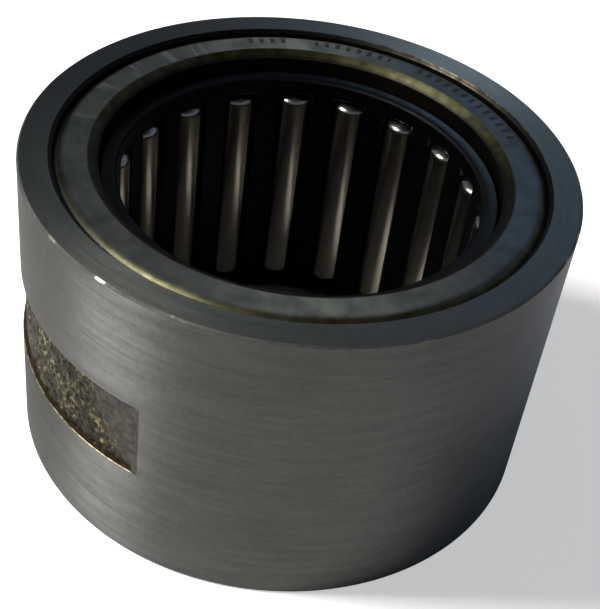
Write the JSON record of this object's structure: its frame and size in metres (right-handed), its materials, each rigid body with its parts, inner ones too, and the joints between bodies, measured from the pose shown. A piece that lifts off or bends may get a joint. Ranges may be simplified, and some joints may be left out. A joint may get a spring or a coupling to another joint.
{
  "type": "needle roller bearing",
  "caption": "Caged needle roller bearing without an inner ring, pressed into a thick steel sleeve with a shallow recess in its side.",
  "frame": {"origin": "middle of the sleeve's lower face, on the bearing's axis", "axes": "+Z along the bearing's axis towards the marked face; -X through the middle of the recess in the sleeve's side"},
  "size_m": [0.034, 0.034, 0.0204],
  "materials": {
    "sleeve_steel": "ground, fine marks round the axis",
    "ring_steel": "finely ground face, polished bore chamfer",
    "cage_steel": "blackened steel, satin",
    "needle_steel": "polished hardened steel"
  },
  "bodies": {
    "housing": {"outer_sleeve": "sleeve_steel", "outer_ring": "ring_steel"},
    "cage": {"cage": "cage_steel"},
    "needle_01": {"needle_roller_01": "needle_steel"},
    "needle_02": {"needle_roller_02": "needle_steel"},
    "needle_03": {"needle_roller_03": "needle_steel"},
    "needle_04": {"needle_roller_04": "needle_steel"},
    "needle_05": {"needle_roller_05": "needle_steel"},
    "needle_06": {"needle_roller_06": "needle_steel"},
    "needle_07": {"needle_roller_07": "needle_steel"},
    "needle_08": {"needle_roller_08": "needle_steel"},
    "needle_09": {"needle_roller_09": "needle_steel"},
    "needle_10": {"needle_roller_10": "needle_steel"},
    "needle_11": {"needle_roller_11": "needle_steel"},
    "needle_12": {"needle_roller_12": "needle_steel"},
    "needle_13": {"needle_roller_13": "needle_steel"},
    "needle_14": {"needle_roller_14": "needle_steel"},
    "needle_15": {"needle_roller_15": "needle_steel"},
    "needle_16": {"needle_roller_16": "needle_steel"},
    "needle_17": {"needle_roller_17": "needle_steel"},
    "needle_18": {"needle_roller_18": "needle_steel"},
    "needle_19": {"needle_roller_19": "needle_steel"}
  },
  "joints": [
    {"name": "cage_orbit", "type": "hinge", "parent": "housing", "child": "cage", "pos_m": [0, 0, 0.0097], "axis": [0, 0, 1], "continuous": true},
    {"name": "needle_spin_01", "type": "hinge", "parent": "cage", "child": "needle_01", "pos_m": [0.0119, 0.0029, 0.00965], "axis": [0, 0, 1], "continuous": true},
    {"name": "needle_spin_02", "type": "hinge", "parent": "cage", "child": "needle_02", "pos_m": [0.01031, 0.00661, 0.00965], "axis": [0, 0, 1], "continuous": true},
    {"name": "needle_spin_03", "type": "hinge", "parent": "cage", "child": "needle_03", "pos_m": [0.00761, 0.0096, 0.00965], "axis": [0, 0, 1], "continuous": true},
    {"name": "needle_spin_04", "type": "hinge", "parent": "cage", "child": "needle_04", "pos_m": [0.00408, 0.01155, 0.00965], "axis": [0, 0, 1], "continuous": true},
    {"name": "needle_spin_05", "type": "hinge", "parent": "cage", "child": "needle_05", "pos_m": [0.00011, 0.01225, 0.00965], "axis": [0, 0, 1], "continuous": true},
    {"name": "needle_spin_06", "type": "hinge", "parent": "cage", "child": "needle_06", "pos_m": [-0.00387, 0.01162, 0.00965], "axis": [0, 0, 1], "continuous": true},
    {"name": "needle_spin_07", "type": "hinge", "parent": "cage", "child": "needle_07", "pos_m": [-0.00744, 0.00973, 0.00965], "axis": [0, 0, 1], "continuous": true},
    {"name": "needle_spin_08", "type": "hinge", "parent": "cage", "child": "needle_08", "pos_m": [-0.0102, 0.00679, 0.00965], "axis": [0, 0, 1], "continuous": true},
    {"name": "needle_spin_09", "type": "hinge", "parent": "cage", "child": "needle_09", "pos_m": [-0.01185, 0.00311, 0.00965], "axis": [0, 0, 1], "continuous": true},
    {"name": "needle_spin_10", "type": "hinge", "parent": "cage", "child": "needle_10", "pos_m": [-0.01222, -0.0009, 0.00965], "axis": [0, 0, 1], "continuous": true},
    {"name": "needle_spin_11", "type": "hinge", "parent": "cage", "child": "needle_11", "pos_m": [-0.01126, -0.00482, 0.00965], "axis": [0, 0, 1], "continuous": true},
    {"name": "needle_spin_12", "type": "hinge", "parent": "cage", "child": "needle_12", "pos_m": [-0.00909, -0.00822, 0.00965], "axis": [0, 0, 1], "continuous": true},
    {"name": "needle_spin_13", "type": "hinge", "parent": "cage", "child": "needle_13", "pos_m": [-0.00593, -0.01072, 0.00965], "axis": [0, 0, 1], "continuous": true},
    {"name": "needle_spin_14", "type": "hinge", "parent": "cage", "child": "needle_14", "pos_m": [-0.00212, -0.01206, 0.00965], "axis": [0, 0, 1], "continuous": true},
    {"name": "needle_spin_15", "type": "hinge", "parent": "cage", "child": "needle_15", "pos_m": [0.00191, -0.0121, 0.00965], "axis": [0, 0, 1], "continuous": true},
    {"name": "needle_spin_16", "type": "hinge", "parent": "cage", "child": "needle_16", "pos_m": [0.00573, -0.01083, 0.00965], "axis": [0, 0, 1], "continuous": true},
    {"name": "needle_spin_17", "type": "hinge", "parent": "cage", "child": "needle_17", "pos_m": [0.00894, -0.00838, 0.00965], "axis": [0, 0, 1], "continuous": true},
    {"name": "needle_spin_18", "type": "hinge", "parent": "cage", "child": "needle_18", "pos_m": [0.01117, -0.00502, 0.00965], "axis": [0, 0, 1], "continuous": true},
    {"name": "needle_spin_19", "type": "hinge", "parent": "cage", "child": "needle_19", "pos_m": [0.0122, -0.00112, 0.00965], "axis": [0, 0, 1], "continuous": true}
  ],
  "couplings": [
    {"joint": "needle_spin_01", "follows": "cage_orbit", "ratio": -10.8},
    {"joint": "needle_spin_02", "follows": "cage_orbit", "ratio": -10.8},
    {"joint": "needle_spin_03", "follows": "cage_orbit", "ratio": -10.8},
    {"joint": "needle_spin_04", "follows": "cage_orbit", "ratio": -10.8},
    {"joint": "needle_spin_05", "follows": "cage_orbit", "ratio": -10.8},
    {"joint": "needle_spin_06", "follows": "cage_orbit", "ratio": -10.8},
    {"joint": "needle_spin_07", "follows": "cage_orbit", "ratio": -10.8},
    {"joint": "needle_spin_08", "follows": "cage_orbit", "ratio": -10.8},
    {"joint": "needle_spin_09", "follows": "cage_orbit", "ratio": -10.8},
    {"joint": "needle_spin_10", "follows": "cage_orbit", "ratio": -10.8},
    {"joint": "needle_spin_11", "follows": "cage_orbit", "ratio": -10.8},
    {"joint": "needle_spin_12", "follows": "cage_orbit", "ratio": -10.8},
    {"joint": "needle_spin_13", "follows": "cage_orbit", "ratio": -10.8},
    {"joint": "needle_spin_14", "follows": "cage_orbit", "ratio": -10.8},
    {"joint": "needle_spin_15", "follows": "cage_orbit", "ratio": -10.8},
    {"joint": "needle_spin_16", "follows": "cage_orbit", "ratio": -10.8},
    {"joint": "needle_spin_17", "follows": "cage_orbit", "ratio": -10.8},
    {"joint": "needle_spin_18", "follows": "cage_orbit", "ratio": -10.8},
    {"joint": "needle_spin_19", "follows": "cage_orbit", "ratio": -10.8}
  ]
}
